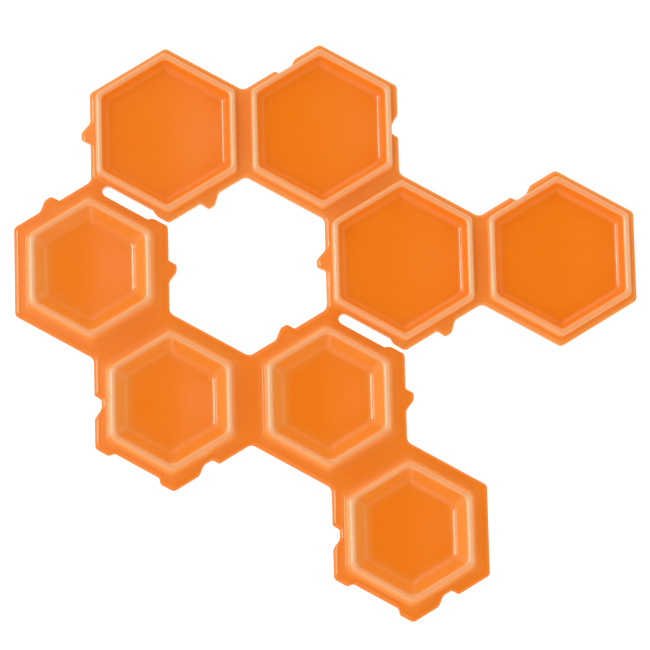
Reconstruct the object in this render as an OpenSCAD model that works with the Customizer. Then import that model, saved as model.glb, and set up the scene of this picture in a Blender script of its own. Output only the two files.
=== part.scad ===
// Honeycomb gel pads: a strip of large dished hexagonal pads and a strip of small ones.
// The pads of a strip are joined by webs. Slots part the two strips but for two necks, on
// which they fold, and the free sides carry nubs and notches by which further sets lock on.
// Millimetres, +Z up, underside at z = 0, origin under the middle of the whole set.

/* [Lattice] */
// Distance between the centres of neighbouring pads
pitch = 38; // [35:0.5:42]
// Clearance between the flanges of neighbouring sets
seam_gap = 0.3; // [0.2:0.05:0.5]

/* [Flange] */
// Thickness of the flange and of the webs
flange_t = 2.6; // [2.2:0.1:3]
// Radius of the flange's top edge
edge_r = 0.5; // [0.3:0.05:0.6]
// Corner radius of the flange, seen from above
tile_corner_r = 1.3; // [1:0.1:2]

/* [Webs] */
// Width of the web that bends between two pads
web_w = 3; // [2.8:0.1:3.4]
// Radius in the corner at each end of a web
web_fillet_r = 2; // [1:0.1:2]

/* [Slots] */
// Width of the slot between two strips
slot_w = 2.5; // [2.1:0.1:2.7]
// Gap that is left at a slot's open end
slot_open = 0.8; // [0.6:0.05:1]
// How far a slot lies off the middle, towards the small pads
slot_shift = 0.3; // [0.1:0.05:0.4]
// Distance from the middle of the side to a slot's round end
slot_reach = 7.2; // [6.5:0.1:8]
// Distance from the middle of the side to where a slot has narrowed to its open end
slot_close = 8; // [7:0.1:9]
// How far the neck at a slot's round end reaches into the small pad
neck_reach = 2.2; // [2:0.1:2.6]

/* [Rims] */
// Height of the rims above the underside
rim_z = 6.6; // [6:0.1:8]
// Width of a rim, with its round top
rim_w = 1.6; // [1.2:0.1:1.8]
// Corner radius of a rim, seen from above
rim_corner_r = 1.5; // [1:0.1:2.5]
// Distance from a flange's edge in to the ridge of a large rim
large_ledge = 2.55; // [2.5:0.05:3.5]
// Distance from a flange's edge in to the ridge of a small rim
small_ledge = 4.75; // [4:0.05:5.5]
// How far a small rim's outer wall spreads towards the flange
small_flare = 0.7; // [0.3:0.1:1.2]
// Fillet where a rim's outer wall meets the flange
foot_r = 0.3; // [0.2:0.05:0.35]

/* [Dishes] */
// Height of a dish's floor above the flange, at its edge
floor_rise = 0.7; // [0.6:0.1:1.4]
// How much lower the middle of the floor is
floor_sag = 0.25; // [0.1:0.05:0.4]
// How far a large dish's wall leans in, from the rim down to the floor
large_lean = 2.2; // [1.8:0.1:3]
// How far a small dish's wall leans in, from the rim down to the floor
small_lean = 3.3; // [2.4:0.1:4.2]
// Fillet where the floor meets the wall
floor_r = 1.5; // [1:0.1:2]

/* [Interlock] */
// How far a nub stands out of its side
nub_h = 1.8; // [1.4:0.1:1.9]
// Length of a nub's gentle flank
nub_ramp = 3.4; // [2.6:0.1:4]
// Length of a nub's flat tip
nub_tip = 1.1; // [0.8:0.1:1.6]
// Length of a nub's steep flank
nub_step = 1.5; // [1.2:0.1:2]
// Clearance of a nub in another set's notch
nub_clear = 0.2; // [0.1:0.05:0.25]
// Depth of the long recess in a small pad's lower side
recess_depth = 1.2; // [0.6:0.05:1.5]
// Length of side left standing at each end of a recess
recess_ear = 3.4; // [2.8:0.1:4.5]
// Length over which a recess runs out to full depth
recess_ramp = 1.6; // [1.2:0.1:2.4]

/* [Hidden] */

gel_colour = [0.94, 0.49, 0.13];
web_colour = [0.91, 0.46, 0.12];

// Sides of a pad, counted anticlockwise: side k faces the angle 60 * k
RIGHT = 0;
UPPER_RIGHT = 1;
UPPER_LEFT = 2;
LEFT = 3;
LOWER_LEFT = 4;
LOWER_RIGHT = 5;

// A pad is [column, row, web sides, nub sides, notch sides, recess sides, neck corners],
// where corner k lies between the sides k - 1 and k
LARGE_PADS = [
    [0, 0, [RIGHT], [LEFT, LOWER_RIGHT], [], [], [LOWER_LEFT]],
    [1, 0, [LEFT, LOWER_RIGHT], [], [RIGHT, UPPER_LEFT], [], []],
    [1.5, 1, [UPPER_LEFT, RIGHT], [LEFT, LOWER_RIGHT], [], [], [LOWER_LEFT]],
    [2.5, 1, [LEFT], [], [UPPER_LEFT], [], []]
];
SMALL_PADS = [
    [-0.5, 1, [LOWER_RIGHT], [RIGHT, UPPER_LEFT], [], [], [UPPER_LEFT]],
    [0, 2, [UPPER_LEFT, RIGHT], [], [LEFT, LOWER_RIGHT], [LOWER_LEFT], []],
    [1, 2, [LEFT, LOWER_RIGHT], [RIGHT, UPPER_LEFT], [], [], [UPPER_LEFT]],
    [1.5, 3, [UPPER_LEFT], [], [LEFT, LOWER_RIGHT], [LOWER_LEFT], []]
];
// Large pad i and small pad i meet at a slot if i is one of these
SLOTTED = [0, 2];
// The side of each pad that leads to the next pad of its strip
LARGE_LINKS = [RIGHT, LOWER_RIGHT, RIGHT];
SMALL_LINKS = [LOWER_RIGHT, RIGHT, LOWER_RIGHT];

// The set spans columns -0.5 to 2.5 and rows 0 to 3, so its middle is here
mid_column = 1;
mid_row = 1.5;
row_h = pitch * sin(60);

tile_a = (pitch - seam_gap) / 2;
tile_side = 2 * tile_a * tan(30);
web_cut_a = (pitch - web_w) / 2;
large_rim_a = tile_a - large_ledge;
small_rim_a = tile_a - small_ledge;
floor_z = flange_t + floor_rise;
notch_depth = nub_h - seam_gap + nub_clear;
recess_half = tile_side / 2 - recess_ear;
// The centre of a slot's round end, along the side
slot_y = slot_w / 2 - slot_reach;

// Steps round an edge, a corner, the flank of a bump and the ends of a web and a slot
edge_steps = 3;
corner_steps = 3;
flank_steps = 4;
web_steps = 6;
slot_steps = 12;
// How deep a cup is rooted in its flange
foot_sink = 0.5;
// The flange's flat top has an inner ring of points at this share of its outline
core_share = 0.6;

function has(list, value) = len(search(value, list)) > 0;
function pad_place(pad) = [(pad[0] - mid_column) * pitch, (mid_row - pad[1]) * row_h, 0];
function away(k) = [cos(60 * k), sin(60 * k)];
function round_at(angle, r) = r * [cos(angle), sin(angle)];
function smooth(x) = x * x * (3 - 2 * x);

// Where the side before k, at distance before, meets side k, at distance after
function meet(k, before, after) =
    before * away(k - 1) + (after - before * cos(60)) / sin(60) * round_at(60 * k + 30, 1);

// A corner of radius r between two sides, as an arc
function corner(k, before, after, r) = [
    for (i = [0 : corner_steps])
        meet(k, before - r, after - r) + round_at(60 * (k - 1 + i / corner_steps), r)
];

// Half of a bump, [position, height], that rises over length or falls if length is negative
function flank(from, length, height) = [
    for (i = [0 : flank_steps])
        let (x = i / flank_steps)
        [from + abs(length) * x, height * smooth(length > 0 ? x : 1 - x)]
];

// A bump with one gentle and one steep flank; turn is 1 if the steep flank comes last
function hooked(height, tip, turn) = turn > 0
    ? concat(flank(-tip / 2 - nub_ramp, nub_ramp, height), flank(tip / 2, -nub_step, height))
    : concat(flank(-tip / 2 - nub_step, nub_step, height), flank(tip / 2, -nub_ramp, height));

// The nubs of the left and right sides are turned against those of the slanted sides
function nub_turn(k) = k % 3 == 0 ? 1 : -1;

long_recess = concat(
    flank(-recess_half, recess_ramp, -recess_depth),
    flank(recess_half - recess_ramp, -recess_ramp, -recess_depth)
);

function side_shape(pad, k) =
    has(pad[3], k) ? hooked(nub_h, nub_tip, nub_turn(k))
    : has(pad[5], k) ? long_recess
    : [];

// Distance of a pad's side from its centre: web sides end where the web begins
function side_a(pad, k, inset) = has(pad[2], k % 6) ? web_cut_a : tile_a - inset;

// The flange's outline, drawn in by inset on its free sides
function pad_outline(pad, inset) = [
    for (k = [0 : 5])
        let (
            before = side_a(pad, k + 5, inset),
            after = side_a(pad, k, inset),
            sharp = has(pad[2], k) || has(pad[2], (k + 5) % 6) || has(pad[6], k)
        )
        each concat(
            sharp ? [meet(k, before, after)] : corner(k, before, after, tile_corner_r - inset),
            [
                for (p = side_shape(pad, k))
                    (after + p[1]) * away(k) + p[0] * round_at(60 * k + 90, 1)
            ]
        )
];

// A web's outline, with the side to the next pad along +X and fillets at its ends
function web_outline(inset) =
    let (
        end_y = (tile_a - inset - web_cut_a * cos(60)) / sin(60),
        fillet_y = (tile_a - pitch / 2 * cos(60) + web_fillet_r) / sin(60),
        fillet = web_fillet_r + inset,
        end = concat(
            [[web_w / 2, end_y]],
            [
                for (i = [0 : web_steps])
                    [0, fillet_y] + round_at(-60 - 60 * i / web_steps, fillet)
            ],
            [[-web_w / 2, end_y]]
        )
    )
    concat(end, -end);

// A neck's outline, with the small pad along +X and a fillet in the corner outside
function neck_outline(inset) =
    let (
        small_cut_a = pitch / 2 - neck_reach,
        fillet_y = (tile_a - pitch / 2 * cos(60) + web_fillet_r) / sin(60),
        fillet = web_fillet_r + inset
    )
    concat(
        [
            [neck_reach, slot_y],
            [-web_w / 2, slot_y],
            [-web_w / 2, -(tile_a - inset - web_cut_a * cos(60)) / sin(60)]
        ],
        [
            for (i = [0 : web_steps])
                [0, -fillet_y] + round_at(120 - 60 * i / web_steps, fillet)
        ],
        [[neck_reach, -(tile_a - inset - small_cut_a * cos(60)) / sin(60)]]
    );

// One edge of a slot's narrowing end: side is 1 at the small pad and -1 at the large one
function slot_edge(side) = [
    for (p = flank(slot_close - recess_ramp, recess_ramp, (slot_w - slot_open) / 2))
        [slot_shift + side * (slot_w / 2 - p[1]), p[0]]
];

// A slot's outline, from its round end to its open end, which runs off the side
slot_outline =
    let (narrow = slot_edge(-1), last = len(narrow) - 1)
    concat(
        [
            for (i = [0 : slot_steps])
                [slot_shift, slot_y] + round_at(180 + 180 * i / slot_steps, slot_w / 2)
        ],
        slot_edge(1),
        [for (side = [1, -1]) [slot_shift + side * slot_open / 2, pitch / 2]],
        [for (i = [last : -1 : 0]) narrow[i]]
    );

// Heights and insets up the flange's edge, with its rounded top
edge_rings = concat(
    [[0, 0]],
    [
        for (i = [0 : edge_steps])
            let (turn = 90 * i / edge_steps)
            [flange_t - edge_r + edge_r * sin(turn), edge_r * (1 - cos(turn))]
    ]
);

// A regular hexagon of apothem a with rounded corners
function hexagon(a, r) = [for (k = [0 : 5]) each corner(k, a, a, r)];

// [apothem, height] from the foot of a rim, over its round top, down to the dish's middle
function cup_profile(rim_a, lean, flare) =
    let (
        top_r = rim_w / 2,
        floor_a = rim_a - top_r - lean,
        wall_a = rim_a + top_r + flare,
        slope = atan2(rim_z - top_r - floor_z, lean)
    )
    concat(
        [[wall_a + foot_r, flange_t - foot_sink]],
        [
            for (turn = [30, 60, 90])
                [wall_a + foot_r * (1 - sin(turn)), flange_t + foot_r * (1 - cos(turn))]
        ],
        [
            for (turn = [0, 30, 60, 90, 120, 90 + slope])
                [rim_a, rim_z - top_r] + round_at(turn, top_r)
        ],
        [
            for (turn = [slope, slope / 2, 0])
                [floor_a + floor_r * sin(turn), floor_z + floor_r * (1 - cos(turn))]
        ],
        [
            for (share = [2 / 3, 1 / 3])
                [floor_a * share, floor_z - floor_sag * smooth(1.5 * (1 - share))]
        ]
    );

// A solid skinned over rings of points, each ring anticlockwise and above the one before
module skin(rings) {
    n = len(rings[0]);
    last = len(rings) - 1;
    points = [for (ring = rings) each ring];
    sides = [
        for (j = [0 : last - 1], i = [0 : n - 1])
            let (a = j * n + i, b = j * n + (i + 1) % n)
            each [[a, a + n, b], [b, a + n, b + n]]
    ];
    bottom = [for (i = [0 : n - 1]) i];
    top = [for (i = [0 : n - 1]) last * n + n - 1 - i];
    polyhedron(points, concat(sides, [bottom, top]), convexity = 6);
}

function lift(outline, z) = [for (p = outline) [p[0], p[1], z]];

module flange(pad) {
    skin(concat(
        [for (ring = edge_rings) lift(pad_outline(pad, ring[1]), ring[0])],
        [lift(pad_outline(pad, edge_r) * core_share, flange_t)]
    ));
}

module cup(rim_a, lean, flare) {
    skin([for (p = cup_profile(rim_a, lean, flare)) lift(hexagon(p[0], rim_corner_r), p[1])]);
}

// What is cut out of a flange for another set's nub
module notch(k) {
    shape = hooked(-notch_depth, nub_tip + 2 * nub_clear, -nub_turn(k));
    reach = nub_h;
    first = shape[0][0];
    last = shape[len(shape) - 1][0];
    rotate(60 * k)
        translate([tile_a, 0, -foot_sink])
            linear_extrude(rim_z)
                polygon(concat(
                    [for (p = shape) [p[1], p[0]]],
                    [[reach, last], [reach, first]]
                ));
}

// Puts its children on the side between large pad i and small pad i, with the latter along +X
module at_slot(i) {
    translate(pad_place(LARGE_PADS[i]))
        rotate(60 * LOWER_LEFT)
            translate([pitch / 2, 0, 0])
                children();
}

module slot() {
    translate([0, 0, -foot_sink])
        linear_extrude(rim_z)
            polygon(slot_outline);
}

// What a neck takes the place of in the pads that it joins
module neck_room() {
    translate([-web_w / 2, -pitch / 2, -foot_sink])
        cube([web_w / 2 + neck_reach, pitch / 2 + slot_y, rim_z]);
}

// Cuts its child back at the slot, if pad i has one
module slotted(i) {
    difference() {
        children();
        if (has(SLOTTED, i))
            at_slot(i) {
                slot();
                neck_room();
            }
    }
}

module pad_body(pad, rim_a, lean, flare) {
    translate(pad_place(pad))
        difference() {
            union() {
                flange(pad);
                cup(rim_a, lean, flare);
            }
            for (k = pad[4]) notch(k);
        }
}

module web_body(pad, link) {
    translate(pad_place(pad))
        rotate(60 * link)
            translate([pitch / 2, 0, 0])
                skin([for (ring = edge_rings) lift(web_outline(ring[1]), ring[0])]);
}

module large_pad(i) {
    color(gel_colour) slotted(i) pad_body(LARGE_PADS[i], large_rim_a, large_lean, 0);
}

module small_pad(i) {
    color(gel_colour) slotted(i) pad_body(SMALL_PADS[i], small_rim_a, small_lean, small_flare);
}

module large_web(i) {
    color(web_colour) web_body(LARGE_PADS[i], LARGE_LINKS[i]);
}

module small_web(i) {
    color(web_colour) web_body(SMALL_PADS[i], SMALL_LINKS[i]);
}

module neck(i) {
    color(web_colour)
        at_slot(i)
            difference() {
                skin([for (ring = edge_rings) lift(neck_outline(ring[1]), ring[0])]);
                slot();
            }
}

large_pad(0);  // large_pad_1
large_pad(1);  // large_pad_2
large_pad(2);  // large_pad_3
large_pad(3);  // large_pad_4
small_pad(0);  // small_pad_1
small_pad(1);  // small_pad_2
small_pad(2);  // small_pad_3
small_pad(3);  // small_pad_4
large_web(0);  // large_web_1
large_web(1);  // large_web_2
large_web(2);  // large_web_3
small_web(0);  // small_web_1
small_web(1);  // small_web_2
small_web(2);  // small_web_3
neck(SLOTTED[0]);  // neck_1
neck(SLOTTED[1]);  // neck_2
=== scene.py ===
"""Two joined strips of dished honeycomb gel pads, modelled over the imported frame, on a light table."""

import math
from collections import namedtuple

import bmesh
import bpy
from bpy.props import FloatProperty, FloatVectorProperty, PointerProperty
from mathutils import Matrix, Vector
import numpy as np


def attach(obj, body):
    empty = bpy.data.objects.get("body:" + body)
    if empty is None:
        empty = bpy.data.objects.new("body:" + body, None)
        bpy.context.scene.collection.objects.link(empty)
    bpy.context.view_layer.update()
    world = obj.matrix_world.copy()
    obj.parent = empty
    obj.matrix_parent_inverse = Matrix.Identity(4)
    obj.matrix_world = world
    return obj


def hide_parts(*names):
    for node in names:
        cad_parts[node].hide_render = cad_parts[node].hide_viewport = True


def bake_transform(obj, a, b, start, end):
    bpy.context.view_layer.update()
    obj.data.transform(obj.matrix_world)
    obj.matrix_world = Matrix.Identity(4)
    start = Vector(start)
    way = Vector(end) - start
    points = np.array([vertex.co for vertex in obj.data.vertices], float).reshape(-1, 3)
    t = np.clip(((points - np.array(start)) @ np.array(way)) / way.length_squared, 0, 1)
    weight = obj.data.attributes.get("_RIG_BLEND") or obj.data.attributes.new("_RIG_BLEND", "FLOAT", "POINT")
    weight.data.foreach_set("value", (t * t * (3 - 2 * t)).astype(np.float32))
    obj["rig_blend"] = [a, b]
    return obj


bl_info = {
    "name": "Honeycomb Gel Pads",
    "version": (1, 0, 0),
    "blender": (4, 5, 0),
    "location": "View3D > Sidebar > Gel Pads",
    "description": "Models two strips of dished gel pads with hooked edges on a light table",
    "category": "Object",
}

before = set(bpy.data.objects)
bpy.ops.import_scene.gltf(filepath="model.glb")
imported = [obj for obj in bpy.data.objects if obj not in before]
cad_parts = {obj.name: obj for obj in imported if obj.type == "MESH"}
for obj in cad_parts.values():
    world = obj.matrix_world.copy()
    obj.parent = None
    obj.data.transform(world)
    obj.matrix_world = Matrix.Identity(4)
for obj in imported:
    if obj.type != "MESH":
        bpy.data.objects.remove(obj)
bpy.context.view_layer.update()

MM = 0.001
TINY = 1e-7

# Sides of a pad, counted anticlockwise: side k faces the angle TURN * k, in degrees
SIDES = range(6)
RIGHT, UPPER_RIGHT, UPPER_LEFT, LEFT, LOWER_LEFT, LOWER_RIGHT = SIDES
TURN = 60
SIN_60 = math.sin(math.radians(60))
COS_60 = math.cos(math.radians(60))
TAN_30 = math.tan(math.radians(30))

# A pad's column and row in the honeycomb, and the sides of it that have webs, nubs and so on
Pad = namedtuple("Pad", "column row webs nubs notches recesses slots", defaults=[frozenset()] * 4)
LARGE_PADS = {
    "large_pad_1": Pad(0, 0, {RIGHT}, nubs={LEFT, LOWER_RIGHT}, slots={LOWER_LEFT}),
    "large_pad_2": Pad(1, 0, {LEFT, LOWER_RIGHT}, notches={RIGHT, UPPER_LEFT}),
    "large_pad_3": Pad(1.5, 1, {UPPER_LEFT, RIGHT}, nubs={LEFT, LOWER_RIGHT}, slots={LOWER_LEFT}),
    "large_pad_4": Pad(2.5, 1, {LEFT}, notches={UPPER_LEFT}),
}
SMALL_PADS = {
    "small_pad_1": Pad(-0.5, 1, {LOWER_RIGHT}, nubs={RIGHT, UPPER_LEFT}, slots={UPPER_RIGHT}),
    "small_pad_2": Pad(0, 2, {UPPER_LEFT, RIGHT}, notches={LEFT, LOWER_RIGHT}, recesses={LOWER_LEFT}),
    "small_pad_3": Pad(1, 2, {LEFT, LOWER_RIGHT}, nubs={RIGHT, UPPER_LEFT}, slots={UPPER_RIGHT}),
    "small_pad_4": Pad(1.5, 3, {UPPER_LEFT}, notches={LEFT, LOWER_RIGHT}, recesses={LOWER_LEFT}),
}
PADS = {**LARGE_PADS, **SMALL_PADS}
# The bodies of the two strips; the pads at their far ends are bodies of their own
STRIPS = {"large": "large_pad_2", "small": "small_pad_2"}
END_PADS = {"large_pad_4", "small_pad_4"}
# Each web: the pad it leaves and the side it leaves by
WEBS = {
    "large_web_1": ("large_pad_1", RIGHT),
    "large_web_2": ("large_pad_2", LOWER_RIGHT),
    "large_web_3": ("large_pad_3", RIGHT),
    "small_web_1": ("small_pad_1", LOWER_RIGHT),
    "small_web_2": ("small_pad_2", RIGHT),
    "small_web_3": ("small_pad_3", LOWER_RIGHT),
}
# The webs that bend, with the two bodies that each joins
BENDING = {
    "large_web_3": ("large_pad_2", "large_pad_4"),
    "small_web_3": ("small_pad_2", "small_pad_4"),
}
# Each neck: the large pad that it leaves, on its way to a small one
NECKS = {"neck_1": "large_pad_1", "neck_2": "large_pad_3"}
# The place in the honeycomb that lies at the origin
MIDDLE_COLUMN = 1
MIDDLE_ROW = 1.5

# Steps along curves, and cuts in straight sides
ARC_STEPS = 8
FILLET_STEPS = 12
RIDGE_STEPS = 20
BASE_STEPS = 3
FLOOR_STEPS = 14
WALL_STEPS = 6
CORNER_STEPS = 6
SIDE_CUTS = 18
BUMP_CUTS = 90
WEB_STEPS = 24
# The apothem of a floor's flat middle, in corner radii
MIDDLE_SHARE = 1.2
# The share of a web's or a neck's width over which it bends
BEND_SHARE = 0.92
# The share of the flange's round edge that is left along a slot
SLOT_ROUNDING = 0.25
# How far from a corner its round part is looked for, in lengths of that part
CORNER_REACH = 1.01
# The least width of the ledge between a rim's foot and a notch
LEDGE_LEFT = 0.05 * MM
# Edges that bend more than this are shown as sharp
SHARP_ANGLE = math.radians(40)

# Gel tone, from deep (0) to the wall colour (1): set per strip on flanges, webs and necks, a painted sheen on
# inner walls, and painted light on outer walls
FLANGE_TONE = {"large": 0.9, "small": 0.2}
INNER_TONE = {"large": 0.2, "small": 1}
OUTER_TONE = 0.7
# Where the inner walls' painted sheen sets in and over what distance it grows, in half widths of the floor
TONE_START = 0.86
TONE_RUN = 0.36
# Where a rim's crest takes its painted highlight and over what height it grows, in heights of the rim over
# the floor
CREST_START = 0.82
CREST_RUN = 0.17
# Painted light on outer walls, which lifts the shade at a rim's foot, and how far under the floor it sets in
OUTER_CREST = 0.4
OUTER_CREST_DROP = 0.2
# The share of the painted highlight and sheen on slanted sides, and the part of a cup that counts as its left
# or right
SLANT_SHARE = 0.55
SQUARE_START = 0.83
SQUARE_RUN = 0.07

# The gel's surface: how much each noise adds to its colours, its relief and its roughness
NOISE_MIDDLE = 0.5
WALL_TINT, CLOUD_TINT = 0.85, 0.35
CREST_TINT, SMEAR_TINT = 0.8, 0.3
GRAIN_RELIEF = 0.3
GEL_ROUGHNESS, SMEAR_ROUGHNESS = 0.2, 0.16
# A weak painted glow stands in for the light that comes through the gel, and lifts the shade on it
GEL_GLOW = 0.62
TABLE_ROUGHNESS, CLOUD_ROUGHNESS = 0.7, 0.1
TABLE_GLOW = 0.7

# The room's light as (place, strength): by height for the band, and towards the left for the patch
BAND_STOPS = [(0.0, 0.75), (0.2, 1.0), (0.65, 1.0), (0.88, 0.12), (1.0, 0.03)]
LEFT_STOPS = [(0.03, 0.0), (0.12, 0.3), (0.29, 1.8), (0.4, 1.6), (0.6, 0.3)]
LEFT_SHIFT = 0.1
# The band's strength in front and behind, and what the far left and right add to it
FRONT_LIGHT, FLANK_LIGHT = 0.6, 0.7
# Area lamps: place, aim, width, depth and power
LAMPS = {
    "left_box": ((-0.55, 0.095, 0.85), (0, 0.02, 0), 0.36, 0.24, 7),
    "low_box": ((-0.90, 0.06, 0.50), (0, 0, 0), 0.3, 0.16, 2),
}
TABLE_HALF = 2
CAMERA_LENS = 138.46
CAMERA_CLIP = (0.01, 20)
CAMERA_PLACE = (-0.00342, -0.06638, 0.60698)
CAMERA_DEGREES = (6.399, -0.122, -1.476)


def length(name, description, default):
    return FloatProperty(name=name, description=description, default=default * MM, unit="LENGTH", precision=5)


def colour(name, description, default):
    return FloatVectorProperty(
        name=name, description=description, default=default, subtype="COLOR", size=3, min=0, max=1
    )


class GelPadSizes(bpy.types.PropertyGroup):
    """Sizes of the gel strips; some radii, the nubs and the sags differ a little from the solids"""

    pitch: length("Pitch", "Distance between the centres of neighbouring pads", 38)
    seam_gap: length("Seam gap", "Clearance between the flanges of neighbouring sets", 0.3)
    flange_t: length("Flange thickness", "Thickness of the flange and of the webs", 2.6)
    edge_r: length("Edge radius", "Radius of the flange's top edge", 1.1)
    base_r: length("Base radius", "Radius of the flange's bottom edge", 0.2)
    tile_corner_r: length("Flange corner", "Corner radius of the flange, seen from above", 1.3)
    web_w: length("Web width", "Width of the web that bends between two pads", 3)
    web_fillet_r: length("Web fillet", "Radius in the corner at each end of a web", 2)
    slot_w: length("Slot width", "Width of the slot between two strips", 2.5)
    slot_open: length("Slot opening", "Gap that is left at a slot's open end", 0.8)
    slot_shift: length("Slot shift", "How far a slot lies off the middle, towards the small pads", 0.3)
    slot_reach: length("Slot reach", "From the middle of the side to a slot's round end", 7.2)
    slot_close: length("Slot close", "From the middle of the side to where a slot has narrowed", 8)
    rim_z: length("Rim height", "Height of the rims above the underside", 6.6)
    rim_w: length("Rim width", "Width of a rim, with its round top", 1.6)
    large_corner_r: length("Large rim corner", "Corner radius of a large rim, seen from above", 1.4)
    small_corner_r: length("Small rim corner", "Corner radius of a small rim, seen from above", 2.2)
    large_ledge: length("Large ledge", "From a flange's edge in to the ridge of a large rim", 2.55)
    small_ledge: length("Small ledge", "From a flange's edge in to the ridge of a small rim", 4.75)
    large_flare: length("Large flare", "How far a large rim's outer wall spreads towards the flange", 0)
    small_flare: length("Small flare", "How far a small rim's outer wall spreads towards the flange", 0.7)
    large_foot_r: length("Large foot", "Fillet where a large rim meets the flange", 0.12)
    small_foot_r: length("Small foot", "Fillet where a small rim meets the flange", 0.4)
    floor_rise: length("Floor rise", "Height of a dish's floor above the flange, at its edge", 0.7)
    large_sag: length("Large floor sag", "How much lower the middle of a large floor is", 0.5)
    small_sag: length("Small floor sag", "How much lower the middle of a small floor is", 0.4)
    large_floor_a: length("Large floor", "Half of a large dish's floor, across its flats", 13.3)
    small_floor_a: length("Small floor", "Half of a small dish's floor, across its flats", 9.6)
    large_floor_r: length("Large floor fillet", "Fillet between a large floor and its wall", 2)
    small_floor_r: length("Small floor fillet", "Fillet between a small floor and its wall", 2.5)
    large_nub: length("Large nub", "How far a nub stands out of a large pad", 2.2)
    small_nub: length("Small nub", "How far a nub stands out of a small pad", 1.9)
    nub_ramp: length("Nub ramp", "Length of a nub's gentle flank", 3.4)
    nub_tip: length("Nub tip", "Length of a nub's flat tip", 1.1)
    nub_step: length("Nub step", "Length of a nub's steep flank", 1.5)
    nub_clear: length("Nub clearance", "Clearance of a nub in another set's notch", 0.2)
    large_notch: length("Large notch", "Depth of a notch in a large pad, up to the rim", 1.55)
    small_notch: length("Small notch", "Depth of a notch in a small pad", 1.7)
    recess_depth: length("Recess depth", "Depth of the long recess in a small pad's lower side", 1.2)
    recess_ear: length("Recess ear", "Length of side left standing at each end of a recess", 3.4)
    recess_ramp: length("Recess ramp", "Length over which a recess runs out to full depth", 1.6)
    table_drop: length("Table drop", "How far below the pads the table is, so that they can bend down", 75)


class GelPadColours(bpy.types.PropertyGroup):
    """Colours of the gel and of the stage"""

    deep: colour("Deep gel", "Gel where it is thick, on the floors and the flanges", (0.56, 0.126, 0.005))
    # The wall colour carries the painted sheen up the inner walls and the painted light on the outer walls
    wall: colour("Wall gel", "Gel on the dished walls", (0.56, 0.183, 0.031))
    # The crest colour is a painted highlight along the rims
    crest: colour("Crest gel", "Gel where it is thin, along the rims", (0.56, 0.295, 0.147))
    table: colour("Table", "The plain table under the pads", (0.5, 0.5, 0.5))


def sizes():
    return bpy.context.scene.gel_pad_sizes


def colours():
    return bpy.context.scene.gel_pad_colours


def size_of(node):
    return node.split("_")[0]


def own(node, name):
    """A size that the large pads and the small pads each have for themselves."""
    return getattr(sizes(), f"{size_of(node)}_{name}")


def body_of(node):
    return node if node in END_PADS else STRIPS[size_of(node)]


def tile_a():
    """Half of a pad's flange, across its flats."""
    s = sizes()
    return (s.pitch - s.seam_gap) / 2


def smooth(x):
    x = min(max(x, 0), 1)
    return x * x * (3 - 2 * x)


def heading(degrees):
    turn = math.radians(degrees)
    return Vector((math.cos(turn), math.sin(turn), 0))


def away(side):
    return heading(TURN * side)


def along(side):
    return heading(TURN * side + 90)


def meet(side, before, after):
    """Where the side before this one, at distance before, meets this one, at distance after."""
    slide = (after - before * COS_60) / SIN_60
    return before * away(side - 1) + slide * along(side - 1)


def pad_place(node):
    pad, pitch = PADS[node], sizes().pitch
    return Vector(((pad.column - MIDDLE_COLUMN) * pitch, (MIDDLE_ROW - pad.row) * (pitch * SIN_60), 0))


def hook(x, tip, turn):
    """A bump with a gentle flank and a steep one, from 0 to 1; with turn 1 the steep flank comes last."""
    s = sizes()
    x *= turn
    if x < 0:
        return smooth((x + tip / 2 + s.nub_ramp) / s.nub_ramp)
    return smooth((tip / 2 + s.nub_step - x) / s.nub_step)


def slot_sides(side):
    """How far from a pad's centre its side lies along a slot, and at the slot's open end."""
    s = sizes()
    shift = s.slot_shift if side == LOWER_LEFT else -s.slot_shift
    edge_a = s.pitch / 2 + shift - s.slot_w / 2
    open_a = min(s.pitch / 2 + shift - s.slot_open / 2, tile_a())
    return edge_a, open_a


def side_bump(node, side, x):
    """How far a side stands out, or is cut in, at the distance x from its middle."""
    s = sizes()
    pad = PADS[node]
    turn = 1 if side in (RIGHT, LEFT) else -1
    if side in pad.nubs:
        return own(node, "nub") * hook(x, s.nub_tip, turn)
    if side in pad.notches:
        return -own(node, "notch") * hook(x, s.nub_tip + 2 * s.nub_clear, -turn)
    if side in pad.recesses:
        half = tile_a() * TAN_30 - s.recess_ear
        return -s.recess_depth * smooth((half - abs(x)) / s.recess_ramp)
    if side in pad.slots:
        edge_a, open_a = slot_sides(side)
        right = x if side == LOWER_LEFT else -x
        return (open_a - edge_a) * smooth((right - s.slot_close + s.recess_ramp) / s.recess_ramp)
    return 0


def arc(centre, radius, start, end, steps=ARC_STEPS):
    """Points (across, up) on an arc, in degrees, with both ends."""
    turns = [math.radians(start + (end - start) * i / steps) for i in range(steps + 1)]
    return [(centre[0] + radius * math.cos(t), centre[1] + radius * math.sin(t)) for t in turns]


def between(start, end):
    """Points (across, up) on the line from start to end, without its ends."""
    return [
        (start[0] + (end[0] - start[0]) * i / WALL_STEPS, start[1] + (end[1] - start[1]) * i / WALL_STEPS)
        for i in range(1, WALL_STEPS)
    ]


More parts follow.
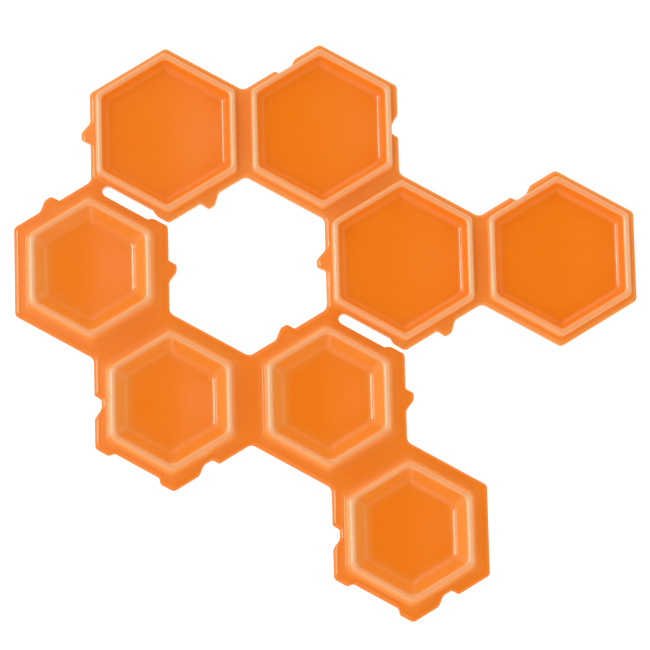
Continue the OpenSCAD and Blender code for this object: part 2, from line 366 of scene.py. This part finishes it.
def cup_profile(node):
    """(apothem, height) from the middle of a pad's dish, over its round rim, down to its flange."""
    s = sizes()
    bead = s.rim_w / 2
    bead_z = s.rim_z - bead
    floor_z = s.flange_t + s.floor_rise
    floor_a, floor_r, foot_r = (own(node, name) for name in ("floor_a", "floor_r", "foot_r"))
    rim_a = tile_a() - own(node, "ledge")
    wall_a = rim_a + bead + own(node, "flare")
    inner_a = MIDDLE_SHARE * own(node, "corner_r")
    rise, run = bead_z - floor_z - floor_r, rim_a - floor_a
    lean = math.degrees(math.atan2(rise, run) + math.asin((bead + floor_r) / math.hypot(rise, run)))
    floor = [(inner_a + (floor_a - inner_a) * i / FLOOR_STEPS, floor_z) for i in range(FLOOR_STEPS)]
    fillet = arc((floor_a, floor_z + floor_r), floor_r, 270, 270 + lean, FILLET_STEPS)
    ridge = arc((rim_a, bead_z), bead, 90 + lean, 0, RIDGE_STEPS)
    foot = arc((wall_a + foot_r, s.flange_t + foot_r), foot_r, 180, 270)
    inner_wall = between(fillet[-1], ridge[0])
    outer_wall = between(ridge[-1], foot[0])
    return floor + fillet + inner_wall + ridge + outer_wall + foot


def grown(bm, loop, moves):
    """Extrudes a loop of edges once; moves gives each new vertex its step."""
    made = bmesh.ops.extrude_edge_only(bm, edges=loop)["geom"]
    verts = {g for g in made if isinstance(g, bmesh.types.BMVert)}
    for vert in verts:
        vert.co += moves(vert)
    return [g for g in made if isinstance(g, bmesh.types.BMEdge) and set(g.verts) <= verts]


def flange_edge():
    """(height, inset) up the flange's edge, from its round base to its round top."""
    s = sizes()
    base = arc((0, s.base_r), s.base_r, 270, 360, BASE_STEPS)
    top = arc((0, s.flange_t - s.edge_r), s.edge_r, 0, 90)
    return [(z, s.base_r - x) for x, z in base] + [(z, s.edge_r - x) for x, z in top]


def lay_hexagon(bm, height, reach, rounded, radius, pulls):
    """Lays a flat hexagon whose sides lie at the distances in reach, and rounds some of its corners.

    Each layer in pulls then holds, for every vertex, how its corner moves in one step: pulls has
    for each corner how far the side before it and the side after it go."""
    corners = [bm.verts.new(meet(side, reach[side - 1], reach[side])) for side in SIDES]
    for vert in corners:
        vert.co.z = height
    places = [vert.co.copy() for vert in corners]
    bm.faces.new(corners)
    bmesh.ops.bevel(
        bm,
        geom=[corners[side] for side in rounded],
        offset=radius * TAN_30,
        offset_type="OFFSET",
        segments=CORNER_STEPS,
        profile=0.5,
        affect="VERTICES",
        material=-1,
    )
    for vert in at_height(bm, height):
        side = min(SIDES, key=lambda side: (vert.co - places[side]).length)
        for layer, pull in pulls.items():
            vert[layer] = meet(side, *pull[side])


def at_height(bm, height):
    return [v for v in bm.verts if abs(v.co.z - height) < TINY]


def on_side(verts, side, reach):
    return {v for v in verts if abs(v.co.dot(away(side)) - reach) < TINY}


def cut_side(bm, verts, cuts):
    """Subdivides the straight edges between the vertices of one side."""
    edges = [e for e in {e for v in verts for e in v.link_edges} if set(e.verts) <= verts]
    bmesh.ops.subdivide_edges(bm, edges=edges, cuts=cuts)


def sink_floor(bm, floor_a, floor_z, sag):
    """Dishes a flat floor: deepest in the middle, level along all six sides."""
    bmesh.ops.poke(bm, faces=[f for f in bm.faces if len(f.verts) > 4])
    for vert in at_height(bm, floor_z):
        shares = [vert.co.dot(away(side)) / floor_a for side in (RIGHT, UPPER_RIGHT, UPPER_LEFT)]
        vert.co.z -= sag * math.prod(1 - share * share for share in shares)


def painted_side_light(place):
    """The strength of a cup's painted highlight and sheen: more on its left and right, which catch the side
    light, than on its slanted sides.
    """
    square_on = smooth((abs(place.normalized().x) - SQUARE_START) / SQUARE_RUN)
    return SLANT_SHARE + (1 - SLANT_SHARE) * square_on


def add_cup(bm, node, profile):
    """Raises a dished cup from its floor outwards and returns its open foot loop."""
    drift = bm.verts.layers.float_vector["drift"]
    wall, crest = bm.verts.layers.float["wall"], bm.verts.layers.float["crest"]
    across, floor_z = profile[0]
    floor_a = profile[FLOOR_STEPS][0]
    lay_hexagon(bm, floor_z, [across] * 6, SIDES, own(node, "corner_r"), {drift: [(1, 1)] * 6})
    for side in SIDES:
        cut_side(bm, on_side(bm.verts, side, across), SIDE_CUTS)
    loop = [e for e in bm.edges if e.is_boundary]
    up, outside = floor_z, False
    for next_a, next_z in profile[1:]:
        step_a, step_z = next_a - across, next_z - up
        loop = grown(bm, loop, lambda vert: vert[drift] * step_a + Vector((0, 0, step_z)))
        outside = outside or step_z < -TINY
        rise = (next_z - floor_z) / (sizes().rim_z - floor_z)
        spread = (next_a - TONE_START * floor_a) / (TONE_RUN * floor_a)
        for vert in {v for e in loop for v in e.verts}:
            # pale is the strength of the painted highlight and sheen here, by the side the vertex faces
            pale = painted_side_light(vert.co.xy)
            # Painted highlight on the rim's crest
            vert[crest] = pale * smooth((rise - CREST_START) / CREST_RUN)
            # Painted sheen up the inner wall
            vert[wall] = pale * INNER_TONE[size_of(node)] * smooth(spread)
            # Outer walls get painted light that lifts the shade at the rim's foot
            if outside:
                vert[crest] = max(vert[crest], OUTER_CREST * smooth(rise + OUTER_CREST_DROP))
                vert[wall] = OUTER_TONE
        across, up = next_a, next_z
    sink_floor(bm, floor_a, floor_z, own(node, "sag"))
    return loop


def open_slot(outline, side, reach):
    """Moves the corner at a slot's open end out, along the side that it shares with its neighbour."""
    edge_a, open_a = slot_sides(side)
    lift = open_a - edge_a
    corner, steps = (side + 1, (lift, 0)) if side == LOWER_LEFT else (side, (0, lift))
    place = meet(corner, reach[corner - 1], reach[corner])
    near = CORNER_REACH * sizes().tile_corner_r * TAN_30
    on_slot = on_side(outline, side, reach[side])
    for vert in outline:
        if vert not in on_slot and (vert.co - place).length < near:
            vert.co += meet(corner, *steps)


def add_flange(bm, node, keep_a):
    """Raises a flange round its outline, leaves keep_a free of it, and returns its open inner loop."""
    s = sizes()
    pad = PADS[node]
    drift, ledge = (bm.verts.layers.float_vector[name] for name in ("drift", "ledge"))
    wall = bm.verts.layers.float["wall"]
    neck_corners = {side if side == LOWER_LEFT else side + 1 for side in pad.slots}
    rounded = [k for k in SIDES if k not in neck_corners and not pad.webs & {k, (k - 1) % 6}]
    bumpy = pad.nubs | pad.notches | pad.recesses | pad.slots

    def side_reach(side):
        if side in pad.webs:
            return (s.pitch - s.web_w) / 2
        return slot_sides(side)[0] if side in pad.slots else tile_a()

    def pull(side, corner):
        if side % 6 in pad.slots:
            return 0 if corner in neck_corners else -SLOT_ROUNDING
        return 0 if side % 6 in pad.webs else -1

    reach = [side_reach(side) for side in SIDES]
    inward = {
        drift: [(pull(corner - 1, corner), pull(corner, corner)) for corner in SIDES],
        ledge: [(-1, -1)] * 6,
    }
    lay_hexagon(bm, 0, reach, rounded, s.tile_corner_r, inward)
    for side in SIDES:
        cuts = BUMP_CUTS if side in bumpy else SIDE_CUTS
        cut_side(bm, on_side(at_height(bm, 0), side, reach[side]), cuts)
    outline = at_height(bm, 0)
    for vert in outline:
        vert[wall] = FLANGE_TONE[size_of(node)]
    loop = [e for e in bm.edges if e.is_boundary and e.verts[0].co.z < TINY]
    for side in pad.slots:
        open_slot(outline, side, reach)
    for side in SIDES:
        for vert in on_side(outline, side, reach[side]):
            bump = side_bump(node, side, vert.co.dot(along(side)))
            room = min(1, (reach[side] + bump - keep_a) / (s.edge_r + s.base_r))
            if bump:
                vert.co += bump * away(side)
            if bump and side not in pad.slots:
                for layer in (drift, ledge):
                    vert[layer] += (1 - room) * away(side)
    steps = flange_edge()
    for vert in outline:
        vert.co += vert[drift] * steps[0][1]
    for (low_z, low_in), (high_z, high_in) in zip(steps, steps[1:]):
        loop = grown(bm, loop, lambda v: v[drift] * (high_in - low_in) + Vector((0, 0, high_z - low_z)))
    return grown(bm, loop, lambda v: v[ledge] * s.base_r / 2)


def finish_piece(name, bm, place, gel):
    """Turns a bmesh into a piece at its place, with smooth faces and sharp cut edges."""
    bmesh.ops.transform(bm, matrix=place, verts=bm.verts)
    bmesh.ops.recalc_face_normals(bm, faces=bm.faces)
    for face in bm.faces:
        face.smooth = True
    for edge in bm.edges:
        edge.smooth = edge.calc_face_angle(0) < SHARP_ANGLE
    open_edges = [e for e in bm.edges if not e.is_manifold]
    if open_edges:
        raise RuntimeError(f"{name} has {len(open_edges)} open edges")
    mesh = bpy.data.meshes.new(name)
    bm.to_mesh(mesh)
    bm.free()
    mesh.materials.append(gel)
    piece = bpy.data.objects.new(name, mesh)
    bpy.context.scene.collection.objects.link(piece)
    return piece


def new_gel_bmesh():
    bm = bmesh.new()
    for name in ("wall", "crest"):
        bm.verts.layers.float.new(name)
    return bm


def make_pad(node):
    """One pad: its flange, its dished cup and the flat ledge between them."""
    bm = new_gel_bmesh()
    for name in ("drift", "ledge"):
        bm.verts.layers.float_vector.new(name)
    profile = cup_profile(node)
    foot = add_cup(bm, node, profile)
    brink = add_flange(bm, node, profile[-1][0] + LEDGE_LEFT)
    bmesh.ops.triangle_fill(bm, use_beauty=True, use_dissolve=False, edges=foot + brink, normal=(0, 0, 1))
    for name in ("drift", "ledge"):
        bm.verts.layers.float_vector.remove(bm.verts.layers.float_vector[name])
    piece = finish_piece(f"{node}_gel", bm, Matrix.Translation(pad_place(node)), gel_material())
    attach(piece, body_of(node))
    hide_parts(node)


def web_end(x, inset):
    """Half the length of a web, at x across it and drawn in by inset."""
    s = sizes()
    fillet = s.web_fillet_r + inset
    if abs(x) < fillet / 2:
        centre = (tile_a() - s.pitch / 4 + s.web_fillet_r) / SIN_60
        return centre - math.sqrt(fillet * fillet - x * x)
    return (tile_a() - inset - (s.pitch / 2 - abs(x)) / 2) / SIN_60


def sweep_link(start, end, low_end, high_end, thin):
    """A flange's cross-section, swept from x = start to x = end.

    low_end and high_end give how far it goes in y, at x and drawn in by an inset."""
    bm = new_gel_bmesh()
    inset, share = bm.verts.layers.float.new("inset"), bm.verts.layers.float.new("share")
    edge = flange_edge()
    section = []
    for high, points in enumerate((edge, edge[::-1])):
        for z, into in points:
            vert = bm.verts.new((0, high, z))
            vert[inset], vert[share] = into, high
            section.append(vert)
    bm.faces.new(section)
    across = [e for e in bm.edges if e.verts[0][share] != e.verts[1][share]]
    bmesh.ops.subdivide_edges(bm, edges=across, cuts=SIDE_CUTS)
    loop = [e for e in bm.edges if e.is_boundary]

    def settle(verts, x):
        for vert in verts:
            low, high = low_end(x, vert[inset]), high_end(x, vert[inset])
            vert.co = (x, low + (high - low) * vert[share], vert.co.z)
            # thin is the strip's flange tone towards the wall colour
            vert[bm.verts.layers.float["wall"]] = thin

    settle(bm.verts, start)
    for i in range(1, WEB_STEPS + 1):
        loop = grown(bm, loop, lambda vert: Vector())
        settle({v for e in loop for v in e.verts}, start + (end - start) * i / WEB_STEPS)
    bmesh.ops.edgeloop_fill(bm, edges=loop)
    for layer in (inset, share):
        bm.verts.layers.float.remove(layer)
    return bm


def side_place(node, side):
    """The middle of a pad's side, and the frame there that has x pointing out."""
    middle = pad_place(node) + sizes().pitch / 2 * away(side)
    return middle, Matrix.Translation(middle) @ Matrix.Rotation(math.radians(TURN * side), 4, "Z")


def make_web(node, leaves, side):
    """One web, waisted by the fillets at its ends."""
    s = sizes()
    middle, place = side_place(leaves, side)
    bm = sweep_link(
        -s.web_w / 2, s.web_w / 2, lambda x, inset: -web_end(x, inset), web_end, FLANGE_TONE[size_of(node)]
    )
    piece = finish_piece(f"{node}_gel", bm, place, gel_material())
    if node in BENDING:
        hinge = middle + Vector((0, 0, s.flange_t / 2))
        span = BEND_SHARE * s.web_w / 2 * away(side)
        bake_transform(piece, *BENDING[node], hinge - span, hinge + span)
    else:
        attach(piece, body_of(node))
    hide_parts(node)


def slot_end(x, _):
    """Where a slot's round end lies, at x across it."""
    s = sizes()
    radius = s.slot_w / 2
    off = min(abs(x - s.slot_shift), radius)
    return radius - s.slot_reach - math.sqrt(radius * radius - off * off)


def make_neck(node, leaves):
    """One neck, between the corner outside and the slot's round end."""
    s = sizes()
    middle, place = side_place(leaves, LOWER_LEFT)
    start, end = s.slot_shift - s.slot_w / 2, s.slot_shift + s.slot_w / 2
    bm = sweep_link(start, end, lambda x, inset: -web_end(x, inset), slot_end, FLANGE_TONE["small"])
    piece = finish_piece(f"{node}_gel", bm, place, gel_material())
    hinge = middle + s.slot_shift * away(LOWER_LEFT) + Vector((0, 0, s.flange_t / 2))
    span = BEND_SHARE * s.slot_w / 2 * away(LOWER_LEFT)
    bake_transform(piece, STRIPS["large"], STRIPS["small"], hinge - span, hinge + span)
    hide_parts(node)


class Wire:
    """A node's output, which takes part in Python sums."""

    def __init__(self, bench, socket):
        self.bench = bench
        self.socket = socket

    def __add__(self, other):
        return self.bench.sum("ADD", self, other)

    def __sub__(self, other):
        return self.bench.sum("SUBTRACT", self, other)

    def __rsub__(self, other):
        return self.bench.sum("SUBTRACT", other, self)

    def __mul__(self, other):
        return self.bench.sum("MULTIPLY", self, other)

    __radd__ = __add__
    __rmul__ = __mul__


class Bench:
    """The nodes of one material or of the world."""

    def __init__(self, owner):
        owner.use_nodes = True
        self.tree = owner.node_tree
        self.tree.nodes.clear()

    def node(self, kind, settings=None, sockets=None, out=0):
        """Adds a node, sets it up, feeds its sockets and returns one of its outputs."""
        made = self.tree.nodes.new(kind)
        for name, value in (settings or {}).items():
            setattr(made, name, value)
        for name, value in (sockets or {}).items():
            socket = next(s for s in made.inputs if name in (s.identifier, s.name))
            if isinstance(value, Wire):
                self.tree.links.new(value.socket, socket)
            elif socket.type == "RGBA" and len(value) == 3:
                socket.default_value = (*value, 1)
            else:
                socket.default_value = value
        return Wire(self, made.outputs[out]) if made.outputs else None

    def sum(self, operation, a, b):
        return self.node("ShaderNodeMath", {"operation": operation}, {"Value": a, "Value_001": b})

    def noise(self, where, scale, detail):
        return self.node("ShaderNodeTexNoise", None, {"Vector": where, "Scale": scale, "Detail": detail})

    def ramp(self, stops, place):
        """A strength that eases from stop to stop."""
        made = self.node("ShaderNodeValToRGB", None, {"Fac": place})
        ramp = made.socket.node.color_ramp
        ramp.interpolation = "EASE"
        for position, _ in stops[1:-1]:
            ramp.elements.new(position)
        for element, (position, strength) in zip(ramp.elements, stops):
            element.position = position
            element.color = (strength, strength, strength, 1)
        return made

    def blend(self, share, a, b):
        """A colour between a and b."""
        return self.node(
            "ShaderNodeMix", {"data_type": "RGBA"}, {"Factor_Float": share, "A_Color": a, "B_Color": b}, 2
        )


def gel_material():
    """Glossy tinted gel: deep on the floors, with a painted sheen up the walls, a painted highlight along the
    rims and a painted glow.
    """
    made = bpy.data.materials.get("orange_gel")
    if made:
        return made
    made = bpy.data.materials.new("orange_gel")
    bench = Bench(made)
    c = colours()
    where = bench.node("ShaderNodeTexCoord", out="Object")
    wall = bench.node("ShaderNodeAttribute", {"attribute_name": "wall"}, out="Fac")
    crest = bench.node("ShaderNodeAttribute", {"attribute_name": "crest"}, out="Fac")
    cloud = bench.noise(where, 90, 3)
    smear = bench.noise(where, 260, 4)
    grain = bench.noise(where, 1400, 2)
    # Towards the wall colour: the strips' flange tone, painted sheen and painted light, with random cloud
    wall_share = wall * WALL_TINT + (cloud - NOISE_MIDDLE) * CLOUD_TINT
    tint = bench.blend(wall_share, tuple(c.deep), tuple(c.wall))
    # Painted highlight along the rim crests, varied by noise
    tint = bench.blend(crest * (CREST_TINT + smear * SMEAR_TINT), tint, tuple(c.crest))
    height = grain * GRAIN_RELIEF + smear
    relief = bench.node("ShaderNodeBump", None, {"Strength": 0.12, "Distance": 0.0002, "Height": height})
    surface = bench.node(
        "ShaderNodeBsdfPrincipled",
        None,
        {
            "Base Color": tint,
            "Emission Color": tint,
            "Emission Strength": GEL_GLOW,
            "Roughness": GEL_ROUGHNESS + (smear - NOISE_MIDDLE) * SMEAR_ROUGHNESS,
            "IOR": 1.45,
            "Specular IOR Level": 0.1,
            "Coat Weight": 0.32,
            "Coat Roughness": 0.04,
            "Normal": relief,
        },
    )
    bench.node("ShaderNodeOutputMaterial", None, {"Surface": surface})
    return made


def table_material():
    """A plain pale table, lit a little from below so that the narrow slots stay bright."""
    made = bpy.data.materials.new("light_table")
    bench = Bench(made)
    where = bench.node("ShaderNodeTexCoord", out="Object")
    cloud = bench.noise(where, 12, 2)
    surface = bench.node(
        "ShaderNodeBsdfPrincipled",
        None,
        {
            "Base Color": tuple(colours().table),
            "Roughness": TABLE_ROUGHNESS + cloud * CLOUD_ROUGHNESS,
            "Emission Color": (1, 1, 1),
            "Emission Strength": TABLE_GLOW,
        },
    )
    bench.node("ShaderNodeOutputMaterial", None, {"Surface": surface})
    return made


def add_world():
    """A band of soft light over the horizon, brighter at left and right, and a bright patch at the left."""
    world = bpy.data.worlds.new("soft_room")
    bpy.context.scene.world = world
    bench = Bench(world)
    where = bench.node("ShaderNodeTexCoord", out="Generated")
    split = bench.node("ShaderNodeSeparateXYZ", None, {"Vector": where}, out="Z")
    across = Wire(bench, split.socket.node.outputs["X"])
    band = bench.ramp(BAND_STOPS, split)
    left = bench.ramp(LEFT_STOPS, LEFT_SHIFT - across)
    flanks = FRONT_LIGHT + bench.sum("ABSOLUTE", across, 0.0) * FLANK_LIGHT
    light = bench.node("ShaderNodeBackground", None, {"Color": band * flanks + left})
    bench.node("ShaderNodeOutputWorld", None, {"Surface": light})


def add_lamp(name, place, aim, width, depth, power):
    lamp = bpy.data.lights.new(name, "AREA")
    lamp.shape = "RECTANGLE"
    lamp.size, lamp.size_y = width, depth
    lamp.energy = power
    holder = bpy.data.objects.new(name, lamp)
    holder.location = place
    holder.rotation_euler = (Vector(aim) - Vector(place)).to_track_quat("-Z", "Y").to_euler()
    holder.visible_camera = False
    holder.visible_diffuse = False
    bpy.context.scene.collection.objects.link(holder)


class GELPADS_OT_large_pads(bpy.types.Operator):
    """Model the four large pads"""

    bl_idname = "gel_pads.large_pads"
    bl_label = "Large Pads"

    def execute(self, context):
        for node in LARGE_PADS:
            make_pad(node)
        return {"FINISHED"}


class GELPADS_OT_small_pads(bpy.types.Operator):
    """Model the four small pads"""

    bl_idname = "gel_pads.small_pads"
    bl_label = "Small Pads"

    def execute(self, context):
        for node in SMALL_PADS:
            make_pad(node)
        return {"FINISHED"}


class GELPADS_OT_webs(bpy.types.Operator):
    """Model the webs between the pads of a strip"""

    bl_idname = "gel_pads.webs"
    bl_label = "Webs"

    def execute(self, context):
        for node, (leaves, side) in WEBS.items():
            make_web(node, leaves, side)
        return {"FINISHED"}


class GELPADS_OT_necks(bpy.types.Operator):
    """Model the necks on which the two strips fold"""

    bl_idname = "gel_pads.necks"
    bl_label = "Necks"

    def execute(self, context):
        for node, leaves in NECKS.items():
            make_neck(node, leaves)
        return {"FINISHED"}


class GELPADS_OT_stage(bpy.types.Operator):
    """Set up the table, the light and the camera"""

    bl_idname = "gel_pads.stage"
    bl_label = "Stage"

    def execute(self, context):
        drop = Matrix.Translation((0, 0, -sizes().table_drop))
        bm = bmesh.new()
        bmesh.ops.create_grid(bm, x_segments=1, y_segments=1, size=TABLE_HALF, matrix=drop)
        mesh = bpy.data.meshes.new("table")
        bm.to_mesh(mesh)
        bm.free()
        mesh.materials.append(table_material())
        table = bpy.data.objects.new("table", mesh)
        context.scene.collection.objects.link(table)
        add_world()
        for name, settings in LAMPS.items():
            add_lamp(name, *settings)
        camera = bpy.data.cameras.new("camera")
        camera.lens = CAMERA_LENS
        camera.clip_start, camera.clip_end = CAMERA_CLIP
        holder = bpy.data.objects.new("camera", camera)
        holder.location = CAMERA_PLACE
        holder.rotation_euler = [math.radians(degrees) for degrees in CAMERA_DEGREES]
        context.scene.collection.objects.link(holder)
        context.scene.camera = holder
        context.scene.view_settings.view_transform = "Standard"
        return {"FINISHED"}


class GELPADS_PT_panel(bpy.types.Panel):
    """Lists the steps, the sizes and the colours"""

    bl_idname = "GELPADS_PT_panel"
    bl_label = "Gel Pads"
    bl_space_type = "VIEW_3D"
    bl_region_type = "UI"
    bl_category = "Gel Pads"

    def draw(self, context):
        column = self.layout.column()
        for operator in OPERATORS:
            column.operator(operator.bl_idname)
        for group in (context.scene.gel_pad_sizes, context.scene.gel_pad_colours):
            for name in group.__annotations__:
                column.prop(group, name)


OPERATORS = (
    GELPADS_OT_large_pads,
    GELPADS_OT_small_pads,
    GELPADS_OT_webs,
    GELPADS_OT_necks,
    GELPADS_OT_stage,
)
CLASSES = (GelPadSizes, GelPadColours, *OPERATORS, GELPADS_PT_panel)


def register():
    for cls in CLASSES:
        bpy.utils.register_class(cls)
    bpy.types.Scene.gel_pad_sizes = PointerProperty(type=GelPadSizes)
    bpy.types.Scene.gel_pad_colours = PointerProperty(type=GelPadColours)


def unregister():
    del bpy.types.Scene.gel_pad_colours
    del bpy.types.Scene.gel_pad_sizes
    for cls in reversed(CLASSES):
        bpy.utils.unregister_class(cls)


def main():
    register()
    bpy.ops.gel_pads.large_pads()
    bpy.ops.gel_pads.small_pads()
    bpy.ops.gel_pads.webs()
    bpy.ops.gel_pads.necks()
    bpy.ops.gel_pads.stage()


if __name__ == "__main__":
    main()
